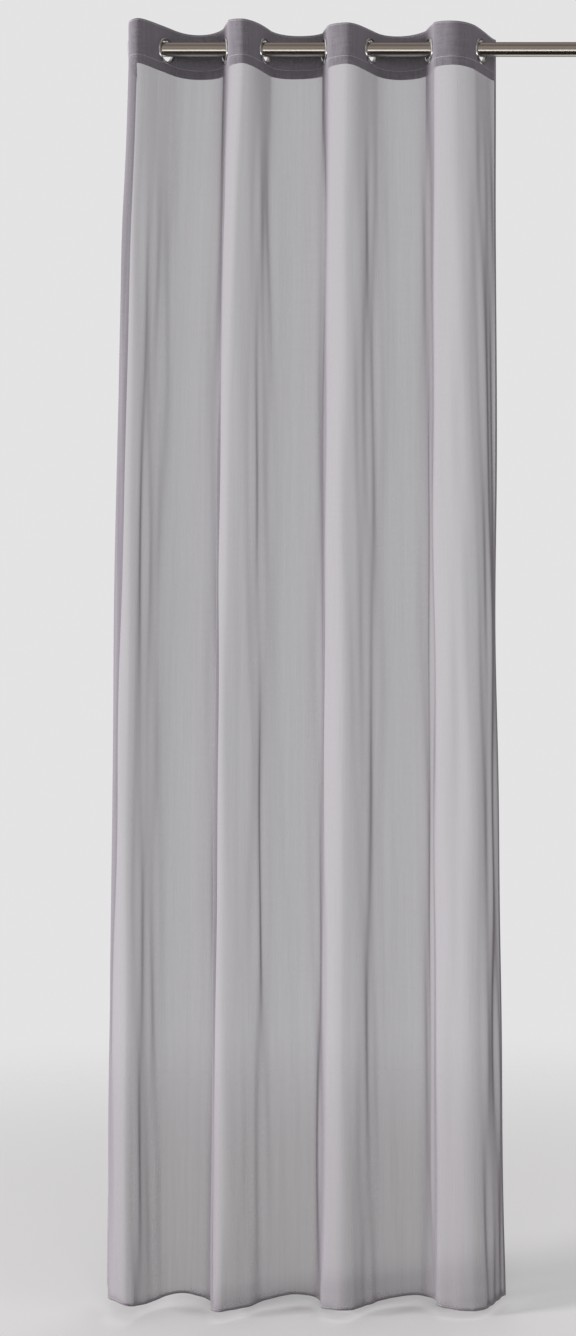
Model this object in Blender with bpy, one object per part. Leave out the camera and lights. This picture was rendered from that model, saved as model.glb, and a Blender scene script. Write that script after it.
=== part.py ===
"""A sheer voile curtain that hangs in folds from eyelets on a round curtain rod.

+X runs along the rod to the right, -Y is the side that the cloth's face looks to and +Z is up.
The origin is the middle of the rod's axis. Lengths are in metres.
"""

import math

import bmesh
import bpy
import numpy as np
from mathutils import Matrix

# The rod: a steel tube with a plain plug in each end.
ROD_LENGTH = 0.924
ROD_RADIUS = 0.014
ROD_WALL = 0.001
ROD_SIDES = 32
CAP_FACE = 0.004
CAP_PLUG = 0.012
CAP_EDGE = 0.001

# Pieces that touch on the real curtain stand this far apart.
GAP = 0.0003

# The eyelets: a domed front ring whose barrel goes through the cloth, and a back ring on the barrel.
# EYELET_BORE and EYELET_RADIUS are radii.
EYELET_COUNT = 8
EYELET_SIDES = 24
EYELET_BORE = 0.020
EYELET_RADIUS = 0.026
EYELET_RIM = EYELET_RADIUS - EYELET_BORE
EYELET_BARREL = 0.0013
EYELET_DOME = 0.0026
BACK_RING = 0.0020
BACK_CHAMFER = 0.0012
# The dome's section from the ring's outer edge to its bore: how far across the rim each point lies, and
# its share of the dome's height.
DOME_SECTION = (
    # across height
    (0.00, 0.00),
    (0.00, 0.35),
    (0.25, 0.85),
    (0.60, 1.00),
    (1.00, 0.40),
)
# How far the eyelets hang below the rod's axis: the most slanted of them then rests on the rod.
EYELET_DROP = 0.0035

# The cloth, as it was cut and sewn.
CLOTH_WIDTH = 1.32
CLOTH_DROP = 2.50
TAIL = 0.068
EYELET_SPACING = (CLOTH_WIDTH - 2 * TAIL) / (EYELET_COUNT - 1)
CLOTH = 0.0012
HEM_CLOTH = 0.0024
HEM = 0.005
HEM_STEP = 0.0015
BAND = 0.0012
BAND_DEPTH = 0.087
BAND_MARGIN = 0.008
HEM_DROP = CLOTH_DROP - BAND_DEPTH
# The band hangs this much further behind the panel, so that it clears the tightest crest too.
BAND_EASE = 0.0001
BAND_MIDDLE = CLOTH / 2 + GAP + BAND_EASE + BAND / 2
EYELET_FROM_TOP = 0.045
TOP = EYELET_FROM_TOP - EYELET_DROP
BAND_FOOT = TOP - BAND_DEPTH
# The cloth is flat this far to each side of an eyelet's middle.
FLAT_HALF = 0.0275
HOLE_CLEARANCE = 0.0005
HOLE_RADIUS = EYELET_BORE + EYELET_BARREL + HOLE_CLEARANCE
HOLE_REACH = 0.010

# How the cloth hangs. Each row is one line down the cloth: its side hems, the lines through the eyelets,
# and between them the foremost line of each crest and the hindmost line of each valley. The x columns
# give the line's place along the rod at the drops below the heading band that FOLD_DROPS gives. The rise
# columns say how far the top edge and the bottom hem lie above their even height there.
FOLD_DROPS = (0.0, 0.45, 1.55, 2.41)
FOLDS = (
    # line         x_band   x_upper  x_lower   x_hem top_rise hem_rise
    ("left_hem", -0.4640, -0.4790, -0.5055, -0.5225, -0.0035, 0.0240),
    ("eyelet_1", -0.4625, -0.4805, -0.5035, -0.5100, -0.0035, 0.0190),
    ("crest_1", -0.4450, -0.4535, -0.4655, -0.4685, -0.0010, 0.0190),
    ("eyelet_2", -0.3965, -0.4090, -0.4265, -0.4305, 0.0025, 0.0015),
    ("valley_1", -0.3325, -0.3510, -0.3685, -0.3745, 0.0015, 0.0070),
    ("eyelet_3", -0.2755, -0.2865, -0.2975, -0.3060, 0.0070, 0.0005),
    ("crest_2", -0.2430, -0.2630, -0.2805, -0.2850, -0.0015, 0.0030),
    ("eyelet_4", -0.2035, -0.2055, -0.2125, -0.2165, 0.0030, 0.0010),
    ("valley_2", -0.1465, -0.1430, -0.1350, -0.1310, -0.0015, 0.0050),
    ("eyelet_5", -0.0800, -0.0840, -0.0895, -0.0935, -0.0030, 0.0005),
    ("crest_3", -0.0410, -0.0465, -0.0515, -0.0535, -0.0075, 0.0045),
    ("eyelet_6", 0.0045, 0.0045, 0.0035, 0.0035, -0.0035, -0.0010),
    ("valley_3", 0.0640, 0.0700, 0.0780, 0.0840, -0.0005, 0.0015),
    ("eyelet_7", 0.1255, 0.1235, 0.1275, 0.1295, 0.0025, 0.0070),
    ("crest_4", 0.1635, 0.1715, 0.1855, 0.1925, -0.0020, 0.0005),
    ("eyelet_8", 0.2215, 0.2260, 0.2360, 0.2430, -0.0015, -0.0020),
    ("right_hem", 0.2520, 0.2520, 0.2580, 0.2710, -0.0055, -0.0005),
)
# How the cloth lies at each eyelet's line: the angle, in degrees, between it and a line square to the rod,
# and how far it swells to the left between that line and the next line of FOLDS.
FLANKS = (
    # line      tilt_band tilt_hem swell_band swell_hem
    ("eyelet_1", -14, 9, 0.0, 0.0),
    ("eyelet_2", 30, 28, 0.0, 0.0),
    ("eyelet_3", 18, 5, 0.0095, 0.0040),
    ("eyelet_4", 15, 32, 0.0, 0.0),
    ("eyelet_5", 6, 13, 0.0095, 0.0080),
    ("eyelet_6", 25, 30, 0.0, 0.0),
    ("eyelet_7", 19, 24, 0.0120, 0.0180),
    ("eyelet_8", 24, 27, 0.0, 0.0),
)

# How finely the cloth is cut into faces, by drops below the heading band and by counts across.
ROW_DROPS = (0.06, 0.15, 0.28, 0.46, 0.70, 1.00, 1.30, 1.60, 1.90, 2.18)
FOLD_COLUMNS = 9
FLAT_COLUMNS = 2
TAIL_COLUMNS = 2
CURVE_POINTS = 16

# The search for each fold's depth: where it starts, how often and how strongly it is mended.
FIRST_DEPTH = 0.06
DEPTH_ROUNDS = 12
DEPTH_STEP = 1.3

# How fast the cloth runs along the rod at a crest, against the average there, and how far the flats at the
# eyelets and the hem's rises reach down and up the cloth before they fade out.
CREST_EASE = 1.2
FLAT_FADE = 0.30
HEM_FADE = 0.40

# Edges that turn by more than this stay sharp on the round pieces, and points closer than this are one.
SHARP_ANGLE = math.radians(35)
SAME_POINT = 1e-6

FINISHES = {
    # name: (base colour, roughness, metallic, alpha)
    "voile": ((0.23, 0.21, 0.23), 0.90, 0.0, 0.5),
    "heading_cloth": ((0.16, 0.145, 0.155), 0.85, 0.0, 1.0),
    "eyelet_metal": ((0.72, 0.72, 0.74), 0.15, 1.0, 1.0),
    "rod_metal": ((0.55, 0.52, 0.475), 0.20, 1.0, 1.0),
}

# The folds as a turn that grows by half a circle from one eyelet to the next: the cloth lies behind the
# rod where its sine is below zero. A tail turns by TAIL_TURN before it ends.
TAIL_TURN = 1.0
LINE_X = np.array([row[1:5] for row in FOLDS])
TOP_RISE = np.array([row[5] for row in FOLDS])
HEM_RISE = np.array([row[6] for row in FOLDS])
EYELET_LINES = slice(1, -1, 2)
CREST_LINES = slice(2, -2, 2)
FOLD_TURN = math.pi * (EYELET_COUNT - 1)
LINE_TURNS = np.linspace(0, FOLD_TURN, len(FOLDS) - 2)
TURNS = np.array([-TAIL_TURN, *LINE_TURNS, FOLD_TURN + TAIL_TURN])
TILTS = np.radians([row[1:3] for row in FLANKS])
SWELLS = np.array([row[3:] for row in FLANKS])
CLOTH_LENGTHS = np.array([TAIL] + [EYELET_SPACING] * (EYELET_COUNT - 1) + [TAIL])
EYELETS_ALONG = TAIL + EYELET_SPACING * np.arange(EYELET_COUNT)


def clear_scene():
    for obj in list(bpy.data.objects):
        bpy.data.objects.remove(obj, do_unlink=True)


def material(name):
    colour, roughness, metallic, alpha = FINISHES[name]
    made = bpy.data.materials.new(name)
    made.use_nodes = True
    shader = made.node_tree.nodes["Principled BSDF"]
    shader.inputs["Base Color"].default_value = (*colour, 1.0)
    shader.inputs["Roughness"].default_value = roughness
    shader.inputs["Metallic"].default_value = metallic
    shader.inputs["Alpha"].default_value = alpha
    return made


def add_object(name, mesh, finish=None):
    obj = bpy.data.objects.new(name, mesh)
    bpy.context.scene.collection.objects.link(obj)
    if finish:
        mesh.materials.clear()
        mesh.materials.append(finish)
    return obj


def hermite(knots, values, slopes, at):
    """A smooth curve through the values at the knots, with the given slopes there, read at some places."""
    knots = np.asarray(knots, float)
    span = np.clip(np.searchsorted(knots, at, side="right") - 1, 0, len(knots) - 2)
    width = knots[span + 1] - knots[span]
    t = (at - knots[span]) / width
    ends = values[span] * (2 * t**3 - 3 * t**2 + 1) + values[span + 1] * (3 * t**2 - 2 * t**3)
    return ends + width * (slopes[span] * (t**3 - 2 * t**2 + t) + slopes[span + 1] * (t**3 - t**2))


def fold_turns():
    """The turn at each point of the cloth's curve, with CURVE_POINTS from each line of FOLDS to the next."""
    steps = np.arange(CURVE_POINTS) / CURVE_POINTS
    spans = [start + (end - start) * steps for start, end in zip(TURNS, TURNS[1:])]
    return np.append(np.concatenate(spans), TURNS[-1])


def plan_curve(drop):
    """The cloth seen from above at one drop below the heading band: each point's distance along the cloth
    from its left side hem, and its x and y. Each fold is as deep as the cloth between two eyelets allows."""
    turn = fold_turns()
    lines = np.array([hermite(FOLD_DROPS, row, np.gradient(row, FOLD_DROPS), drop) for row in LINE_X])
    share = drop / FOLD_DROPS[-1]
    tilts = TILTS[:, 0] + (TILTS[:, 1] - TILTS[:, 0]) * share
    swell = np.zeros(len(FOLDS))
    swell[EYELET_LINES] = SWELLS[:, 0] + (SWELLS[:, 1] - SWELLS[:, 0]) * share
    swell = np.append(np.repeat(swell[:-1], CURVE_POINTS), 0)
    joints = CURVE_POINTS * np.array([0, *range(1, len(FOLDS), 2), len(FOLDS) - 1])
    depths = np.full(len(CLOTH_LENGTHS), FIRST_DEPTH)
    for _ in range(DEPTH_ROUNDS):
        reach = np.empty(len(FOLDS))
        reach[[0, -1]] = depths[[0, -1]]
        reach[CREST_LINES] = depths[1:-1]
        reach[EYELET_LINES] = (depths[:-1] + depths[1:]) / 2
        slopes = CREST_EASE * np.gradient(lines, TURNS)
        slopes[EYELET_LINES] = reach[EYELET_LINES] * np.tan(tilts)
        x = hermite(TURNS, lines, slopes, turn) - swell * np.sin(2 * turn) ** 2
        y = -hermite(TURNS, reach, np.zeros(len(FOLDS)), turn) * np.sin(turn)
        along = np.append(0, np.cumsum(np.hypot(np.diff(x), np.diff(y))))
        depths *= (CLOTH_LENGTHS / np.diff(along[joints])) ** DEPTH_STEP
    return along, x, y


def row_points(columns, drop):
    """The x and y of each column of the cloth. The cloth is flat where the eyelets clamp it, and the flat
    fades out below the heading band."""
    along, x, y = plan_curve(max(drop, 0.0))
    place = np.stack([np.interp(columns, along, x), np.interp(columns, along, y)], axis=1)
    flatness = 0.5 + 0.5 * math.cos(math.pi * min(max(drop, 0.0) / FLAT_FADE, 1.0))
    for middle in EYELETS_ALONG:
        inside = np.abs(columns - middle) < FLAT_HALF
        ends = middle - FLAT_HALF, middle + FLAT_HALF
        left, right = np.stack([np.interp(ends, along, x), np.interp(ends, along, y)], axis=1)
        share = (columns[inside, None] - ends[0]) / (ends[1] - ends[0])
        place[inside] += flatness * (left + (right - left) * share - place[inside])
    return place


def cloth_columns():
    """Distances along the cloth from its left side hem: the hems' edges, the flats at the eyelets, and
    even steps round the folds between them."""
    hem_edges = [0.0, HEM, HEM + HEM_STEP]
    columns = hem_edges + [CLOTH_WIDTH - edge for edge in hem_edges]
    first, last = EYELETS_ALONG[0] - FLAT_HALF, EYELETS_ALONG[-1] + FLAT_HALF
    columns += list(np.linspace(hem_edges[-1], first, TAIL_COLUMNS + 1)[1:-1])
    columns += list(np.linspace(last, CLOTH_WIDTH - hem_edges[-1], TAIL_COLUMNS + 1)[1:-1])
    for middle in EYELETS_ALONG:
        columns += list(np.linspace(middle - FLAT_HALF, middle + FLAT_HALF, FLAT_COLUMNS + 1))
    for middle in EYELETS_ALONG[:-1]:
        start, end = middle + FLAT_HALF, middle + EYELET_SPACING - FLAT_HALF
        columns += list(np.linspace(start, end, FOLD_COLUMNS + 1)[1:-1])
    return np.sort(np.array(columns))


def rises(columns):
    """How far the top edge and the bottom hem lie above their even height at each column."""
    along, _, _ = plan_curve(0.0)
    turn = np.interp(columns, along, fold_turns())
    return [hermite(TURNS, row, np.gradient(row, TURNS), turn) for row in (TOP_RISE, HEM_RISE)]


def cloth_surface(columns, drops):
    """The points of the cloth's middle surface, by row and column."""
    top_rise, hem_rise = rises(columns)
    rows = []
    for drop in drops:
        height = BAND_FOOT - drop + top_rise * max(-drop, 0.0) / BAND_DEPTH
        height = height + hem_rise * max(drop - HEM_DROP + HEM_FADE, 0.0) / HEM_FADE
        rows.append(np.column_stack([row_points(columns, drop), height]))
    return np.array(rows)


def outward(surface):
    """Level vectors out of the cloth's face side, mitred so that the surface moved by a multiple of them
    lies that far away all along."""
    run = np.diff(surface[..., :2], axis=1)
    run /= np.linalg.norm(run, axis=-1, keepdims=True)
    square = np.stack([run[..., 1], -run[..., 0], np.zeros(run.shape[:2])], axis=-1)
    before = np.concatenate([square[:, :1], square], axis=1)
    after = np.concatenate([square, square[:, -1:]], axis=1)
    return (before + after) / (1 + np.sum(before * after, axis=-1, keepdims=True))


def sheet(name, surface, thickness, finish, thin_part=1.0, thick=None):
    """A sheet of cloth made of a surface of rows and columns. Where thick isn't set it has only thin_part
    of its thickness."""
    rows, columns = surface.shape[:2]
    corner = np.arange(rows * columns).reshape(rows, columns)
    faces = np.stack([corner[:-1, :-1], corner[1:, :-1], corner[1:, 1:], corner[:-1, 1:]], axis=-1)
    mesh = bpy.data.meshes.new(name)
    mesh.from_pydata(surface.reshape(-1, 3).tolist(), [], faces.reshape(-1, 4).tolist())
    obj = add_object(name, mesh, finish)
    solidify = obj.modifiers.new("thickness", "SOLIDIFY")
    solidify.thickness = thickness
    solidify.offset = 0.0
    solidify.use_even_offset = True
    if thick is not None:
        group = obj.vertex_groups.new(name="thick")
        group.add(corner[thick].tolist(), 1.0, "REPLACE")
        solidify.vertex_group = group.name
        solidify.thickness_vertex_group = thin_part
    mesh.shade_smooth()
    return obj


def turned(name, profile, sides):
    """A mesh turned round the Y axis from (radius, distance towards -Y) points."""
    mesh = bpy.data.meshes.new(name)
    shape = bmesh.new()
    points = [shape.verts.new((radius, -out, 0.0)) for radius, out in profile]
    outline = [shape.edges.new(pair) for pair in zip(points, points[1:] + points[:1])]
    bmesh.ops.spin(
        shape,
        geom=points + outline,
        axis=(0, 1, 0),
        cent=(0, 0, 0),
        angle=math.tau,
        steps=sides,
        use_merge=True,
    )
    bmesh.ops.remove_doubles(shape, verts=shape.verts, dist=SAME_POINT)
    edges_on_axis = [edge for edge in shape.edges if not edge.link_faces]
    bmesh.ops.delete(shape, geom=edges_on_axis, context="EDGES")
    bmesh.ops.recalc_face_normals(shape, faces=shape.faces)
    shape.to_mesh(mesh)
    shape.free()
    mesh.shade_smooth()
    mesh.set_sharp_from_angle(angle=SHARP_ANGLE)
    return mesh


def eyelet_places():
    """Each eyelet's middle and the turn about Z that faces it out of the cloth's face side."""
    places = []
    for middle in EYELETS_ALONG:
        left, right = row_points(np.array([middle - FLAT_HALF, middle + FLAT_HALF]), 0.0)
        run = right - left
        places.append(((*((left + right) / 2), -EYELET_DROP), math.atan2(run[1], run[0])))
    return places


def cut_holes(cloth, places):
    """Cuts a round hole for each eyelet's barrel."""
    ends = -HOLE_REACH, HOLE_REACH
    profile = [(0, ends[0]), (HOLE_RADIUS, ends[0]), (HOLE_RADIUS, ends[1]), (0, ends[1])]
    mesh = turned("hole", profile, EYELET_SIDES)
    shape = bmesh.new()
    for location, turn in places:
        before = len(shape.verts)
        shape.from_mesh(mesh)
        shape.verts.ensure_lookup_table()
        added = shape.verts[before:]
        bmesh.ops.rotate(shape, verts=added, matrix=Matrix.Rotation(turn, 3, "Z"), cent=(0, 0, 0))
        bmesh.ops.translate(shape, verts=added, vec=location)
    cutters = bpy.data.meshes.new(cloth.name + "_holes")
    shape.to_mesh(cutters)
    shape.free()
    cutter = add_object(cutters.name, cutters)
    cutter.hide_render = True
    cutter.display_type = "WIRE"
    boolean = cloth.modifiers.new("holes", "BOOLEAN")
    boolean.operation = "DIFFERENCE"
    boolean.solver = "EXACT"
    boolean.object = cutter


def build_cloth(places):
    hem_top = HEM_DROP - HEM
    drops = [-BAND_DEPTH, 0.0, *ROW_DROPS, hem_top - HEM_STEP, hem_top, HEM_DROP]
    columns = cloth_columns()
    surface = cloth_surface(columns, drops)
    in_hem = np.zeros(surface.shape[:2], bool)
    in_hem[-2:] = True
    in_hem[:, :2] = True
    in_hem[:, -2:] = True
    voile = material("voile")
    panel = sheet("curtain_panel", surface, HEM_CLOTH, voile, CLOTH / HEM_CLOTH, in_hem)
    cut_holes(panel, places)

    inside = (columns > BAND_MARGIN) & (columns < CLOTH_WIDTH - BAND_MARGIN)
    columns = np.array([BAND_MARGIN, *columns[inside], CLOTH_WIDTH - BAND_MARGIN])
    surface = cloth_surface(columns, [-BAND_DEPTH, 0.0])
    behind = surface - outward(surface) * BAND_MIDDLE
    band = sheet("heading_band", behind, BAND, material("heading_cloth"))
    cut_holes(band, places)


def build_eyelets(places):
    chrome = material("eyelet_metal")
    face = CLOTH / 2 + GAP
    back = -(BAND_MIDDLE + BAND / 2 + GAP)
    back_end = back - BACK_RING
    barrel = EYELET_BORE + EYELET_BARREL
    dome = [
        (EYELET_RADIUS - across * EYELET_RIM, face + height * EYELET_DOME)
        for across, height in DOME_SECTION
    ]
    front_profile = [(barrel, back_end), (barrel, face), *dome, (EYELET_BORE, back_end)]
    back_profile = [
        (barrel + GAP, back),
        (EYELET_RADIUS, back),
        (EYELET_RADIUS - BACK_CHAMFER, back_end),
        (barrel + GAP, back_end),
    ]
    front_mesh = turned("eyelet_front", front_profile, EYELET_SIDES)
    back_mesh = turned("eyelet_back", back_profile, EYELET_SIDES)
    for number, (location, turn) in enumerate(places, start=1):
        for name, mesh in (("eyelet_front", front_mesh), ("eyelet_back", back_mesh)):
            ring = add_object(f"{name}_{number}", mesh, chrome)
            ring.location = location
            ring.rotation_euler.z = turn


def build_rod():
    steel = material("rod_metal")
    half = ROD_LENGTH / 2
    bore = ROD_RADIUS - ROD_WALL
    tube = [(bore, -half), (ROD_RADIUS, -half), (ROD_RADIUS, half), (bore, half)]
    rod = add_object("rod", turned("rod", tube, ROD_SIDES), steel)
    rod.rotation_euler.z = math.pi / 2

    plug = bore - GAP
    cap_profile = [
        (0, -CAP_PLUG),
        (plug, -CAP_PLUG),
        (plug, 0),
        (ROD_RADIUS, 0),
        (ROD_RADIUS, CAP_FACE - CAP_EDGE),
        (ROD_RADIUS - CAP_EDGE, CAP_FACE),
        (0, CAP_FACE),
    ]
    cap_mesh = turned("rod_cap", cap_profile, ROD_SIDES)
    for name, side in (("rod_cap_left", -1), ("rod_cap_right", 1)):
        cap = add_object(name, cap_mesh, steel)
        cap.location.x = side * (half + GAP)
        cap.rotation_euler.z = side * math.pi / 2


clear_scene()
eyelets = eyelet_places()
build_rod()
build_cloth(eyelets)
build_eyelets(eyelets)
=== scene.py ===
"""A sheer voile curtain that hangs from eyelets on a round rod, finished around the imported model.

Lengths are in metres, in the model's frame: +X along the rod to the right, -Y out of the curtain's face
side, +Z up.
"""

import functools
import math

import bpy
import numpy as np
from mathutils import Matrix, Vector


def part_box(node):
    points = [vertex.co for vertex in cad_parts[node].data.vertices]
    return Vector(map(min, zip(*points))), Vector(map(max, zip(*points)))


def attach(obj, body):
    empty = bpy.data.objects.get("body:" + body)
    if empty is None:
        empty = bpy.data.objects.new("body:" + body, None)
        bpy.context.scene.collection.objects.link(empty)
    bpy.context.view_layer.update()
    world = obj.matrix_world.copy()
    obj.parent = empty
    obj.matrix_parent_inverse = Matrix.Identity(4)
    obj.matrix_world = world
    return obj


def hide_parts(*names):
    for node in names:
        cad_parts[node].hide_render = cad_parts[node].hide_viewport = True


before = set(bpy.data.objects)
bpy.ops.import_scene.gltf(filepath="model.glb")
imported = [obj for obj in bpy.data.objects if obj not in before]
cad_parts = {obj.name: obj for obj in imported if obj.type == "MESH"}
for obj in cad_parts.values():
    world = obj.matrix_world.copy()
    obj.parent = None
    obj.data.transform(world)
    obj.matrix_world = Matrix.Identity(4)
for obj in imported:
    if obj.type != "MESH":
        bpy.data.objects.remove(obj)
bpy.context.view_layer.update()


# ---- The rod -----------------------------------------------------------------------------------------
# A drawn steel tube, 28 mm across with a 1 mm wall, plated in satin nickel and brushed along its length.
# The eyelets slide on it, and brackets beyond the curtain hold it up.

ROD_SIDES = 96
ROD_WALL = 0.001
ROD_COLOUR = (0.60, 0.565, 0.52)
ROD_SHADE = (0.50, 0.47, 0.43)
ROD_ROUGHNESS = 0.19
# How often in a metre the brush marks change, across and along the rod, and how far they and the worn
# patches change its roughness.
ROD_BRUSH = 2600.0
ROD_BRUSH_LENGTH = 9.0
ROD_BRUSH_HEIGHT = 0.00001
ROD_BRUSH_ROUGHNESS = 0.10
ROD_WEAR = 14.0
ROD_WEAR_ROUGHNESS = 0.08
SHARP_ANGLE = math.radians(40)


class Value:
    """A socket in a node tree. Arithmetic on it adds Math nodes, and node() adds any other node."""

    def __init__(self, tree, socket=None):
        self.tree = tree
        self.socket = socket

    def node(self, kind, settings, sockets, output=0):
        """A node of a kind. Its settings, and a ramp's stops, are set before its sockets."""
        made = self.tree.nodes.new(kind)
        for name, value in settings.items():
            if name == "stops":
                ramp = made.color_ramp
                while len(ramp.elements) < len(value):
                    ramp.elements.new(1.0)
                for element, (place, colour) in zip(ramp.elements, value):
                    element.position = place
                    element.color = (*colour, 1.0)
            else:
                setattr(made, name, value)
        for name, value in sockets.items():
            if isinstance(value, Value):
                self.tree.links.new(value.socket, made.inputs[name])
            else:
                made.inputs[name].default_value = value
        return Value(self.tree, made.outputs[output])

    def math(self, operation, first, second):
        return self.node("ShaderNodeMath", {"operation": operation}, {0: first, 1: second})

    def __add__(self, other):
        return self.math("ADD", self, other)

    __radd__ = __add__

    def __sub__(self, other):
        return self.math("SUBTRACT", self, other)

    def __rsub__(self, other):
        return self.math("SUBTRACT", other, self)

    def __mul__(self, other):
        return self.math("MULTIPLY", self, other)

    __rmul__ = __mul__

    def __truediv__(self, other):
        return self.math("DIVIDE", self, other)

    def __rtruediv__(self, other):
        return self.math("DIVIDE", other, self)

    def __pow__(self, other):
        return self.math("POWER", self, other)

    def __rpow__(self, other):
        return self.math("POWER", other, self)

    def at_least(self, other):
        return self.math("MAXIMUM", self, other)

    def at_most(self, other):
        return self.math("MINIMUM", self, other)

    def noise(self, scale, detail=2.0):
        """Noise from 0 to 1 over these coordinates, with its own scale along each axis."""
        stretched = self.node("ShaderNodeMapping", {}, {"Vector": self, "Scale": scale})
        return self.node("ShaderNodeTexNoise", {}, {"Vector": stretched, "Scale": 1.0, "Detail": detail})

    def between(self, low, high):
        """A colour from low, where the value is 0, to high, where it is 1."""
        ends = [end if isinstance(end, Value) else (*end, 1.0) for end in (low, high)]
        sockets = {"Factor": self, 6: ends[0], 7: ends[1]}
        return self.node("ShaderNodeMix", {"data_type": "RGBA"}, sockets, output=2)

    def bump(self, height):
        """A bumped normal, raised by as much as this height where the value is 1."""
        return self.node("ShaderNodeBump", {}, {"Height": self, "Distance": height, "Strength": 1.0})


def finish_material(name, coordinates, make):
    """A material whose Principled shader takes what make() gives for the coordinates that it is fed."""
    material = bpy.data.materials.new(name)
    material.use_nodes = True
    tree = material.node_tree
    shader = tree.nodes["Principled BSDF"]
    if coordinates == "object":
        place = Value(tree).node("ShaderNodeTexCoord", {}, {}, output=3)
    else:
        place = Value(tree).node("ShaderNodeUVMap", {"uv_map": coordinates}, {})
    for socket, value in make(place).items():
        if isinstance(value, Value):
            tree.links.new(value.socket, shader.inputs[socket])
        else:
            shader.inputs[socket].default_value = value
    return material


def satin_nickel(place):
    brushed = place.noise((ROD_BRUSH_LENGTH, ROD_BRUSH, ROD_BRUSH))
    worn = place.noise((ROD_WEAR, ROD_WEAR, ROD_WEAR), detail=4.0)
    brushed_roughness = ROD_ROUGHNESS + ROD_BRUSH_ROUGHNESS * (brushed - 0.5)
    return {
        "Base Color": (0.5 * brushed + 0.5 * worn).between(ROD_SHADE, ROD_COLOUR),
        "Metallic": 1.0,
        "Roughness": brushed_roughness + ROD_WEAR_ROUGHNESS * (worn - 0.5),
        "Normal": brushed.bump(ROD_BRUSH_HEIGHT),
    }


rod_metal = finish_material("satin_nickel", "object", satin_nickel)


def start_piece(name):
    """Names the primitive that was just added."""
    piece = bpy.context.object
    piece.name = name
    piece.data.name = name
    return piece


def finish_piece(piece, material, slot, *nodes):
    """Settles a piece where it stands, gives it its finish and has it stand for its nodes."""
    bpy.ops.object.select_all(action="DESELECT")
    piece.select_set(True)
    bpy.context.view_layer.objects.active = piece
    bpy.ops.object.transform_apply(location=True, rotation=True, scale=True)
    piece.data.materials.clear()
    piece.data.materials.append(material)
    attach(piece, "root")
    if nodes:
        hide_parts(*nodes)


rod_low, rod_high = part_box("rod")
ROD_RADIUS = (rod_high.z - rod_low.z) / 2
bpy.ops.object.select_all(action="DESELECT")
bpy.ops.mesh.primitive_cylinder_add(
    vertices=ROD_SIDES,
    radius=ROD_RADIUS,
    depth=rod_high.x - rod_low.x,
    end_fill_type="NOTHING",
    location=(rod_low + rod_high) / 2,
    rotation=(0, math.pi / 2, 0),
)
tube = start_piece("rod_tube")
wall = tube.modifiers.new("wall", "SOLIDIFY")
wall.thickness = ROD_WALL
wall.offset = -1.0
bpy.ops.object.modifier_apply(modifier=wall.name)
bpy.ops.object.shade_smooth_by_angle(angle=SHARP_ANGLE)
finish_piece(tube, rod_metal, "rod_metal", "rod")


# ---- The rod's end plugs -----------------------------------------------------------------------------
# Two pressed steel plugs, pushed into the tube's ends up to their lips. Their faces are dished a little
# inside a softened rim, and they have the rod's finish.

CAP_CLEARANCE = 0.0003
CAP_RIM = 0.0012
CAP_RIM_STEPS = 5
# The plug's face is dished by so much, over this share of its radius.
CAP_DISH = 0.0004
CAP_DISH_SHARE = 0.7
SAME_POINT = 1e-6


def turned_piece(name, rings, sides):
    """A round piece about +Z: a circle that is extruded from one (radius, height) ring to the next."""
    bpy.ops.object.select_all(action="DESELECT")
    radius, height = rings[0]
    bpy.ops.mesh.primitive_circle_add(vertices=sides, radius=radius, location=(0, 0, height))
    piece = start_piece(name)
    bpy.ops.object.transform_apply(location=True, rotation=True, scale=True)
    bpy.ops.object.mode_set(mode="EDIT")
    for next_radius, next_height in rings[1:]:
        rise = {"value": (0, 0, next_height - height)}
        bpy.ops.mesh.extrude_edges_move(TRANSFORM_OT_translate=rise)
        grow = next_radius / radius
        bpy.ops.transform.resize(value=(grow, grow, 1), center_override=(0, 0, next_height))
        radius, height = next_radius, next_height
    bpy.ops.object.mode_set(mode="OBJECT")
    return piece


def close_piece(piece):
    """Merges doubled points, fills open rims and turns the faces outwards."""
    bpy.ops.object.mode_set(mode="EDIT")
    bpy.ops.mesh.select_all(action="SELECT")
    bpy.ops.mesh.remove_doubles(threshold=SAME_POINT)
    bpy.ops.mesh.fill_holes(sides=0)
    bpy.ops.mesh.select_all(action="SELECT")
    bpy.ops.mesh.normals_make_consistent(inside=False)
    bpy.ops.object.mode_set(mode="OBJECT")
    bpy.ops.object.shade_smooth_by_angle(angle=SHARP_ANGLE)


for side, node in ((-1, "rod_cap_left"), (1, "rod_cap_right")):
    cap_low, cap_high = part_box(node)
    inner, outer = sorted((cap_low.x, cap_high.x), key=abs)
    tube_end = (rod_low.x if side < 0 else rod_high.x) * side
    plug = ROD_RADIUS - ROD_WALL - CAP_CLEARANCE
    lip = abs(outer) - CAP_RIM
    profile = [(plug, abs(inner)), (plug, tube_end), (ROD_RADIUS, tube_end), (ROD_RADIUS, lip)]
    for step in range(1, CAP_RIM_STEPS + 1):
        turn = math.pi / 2 * step / CAP_RIM_STEPS
        rim = ROD_RADIUS - CAP_RIM * (1 - math.cos(turn))
        profile.append((rim, lip + CAP_RIM * math.sin(turn)))
    profile.append((ROD_RADIUS * CAP_DISH_SHARE, abs(outer) - CAP_DISH))
    cap = turned_piece(node.replace("rod_cap", "end_plug"), profile, ROD_SIDES)
    close_piece(cap)
    cap.rotation_euler = (0, side * math.pi / 2, 0)
    finish_piece(cap, rod_metal, "rod_metal", node)


# ---- The voile panel ---------------------------------------------------------------------------------
# One cut of sheer polyester voile, 1.32 m by 2.50 m, hung in deep uneven folds from the eyelets. Its
# side hems and its bottom hem are turned over twice and stitched, so three layers show there.

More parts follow.
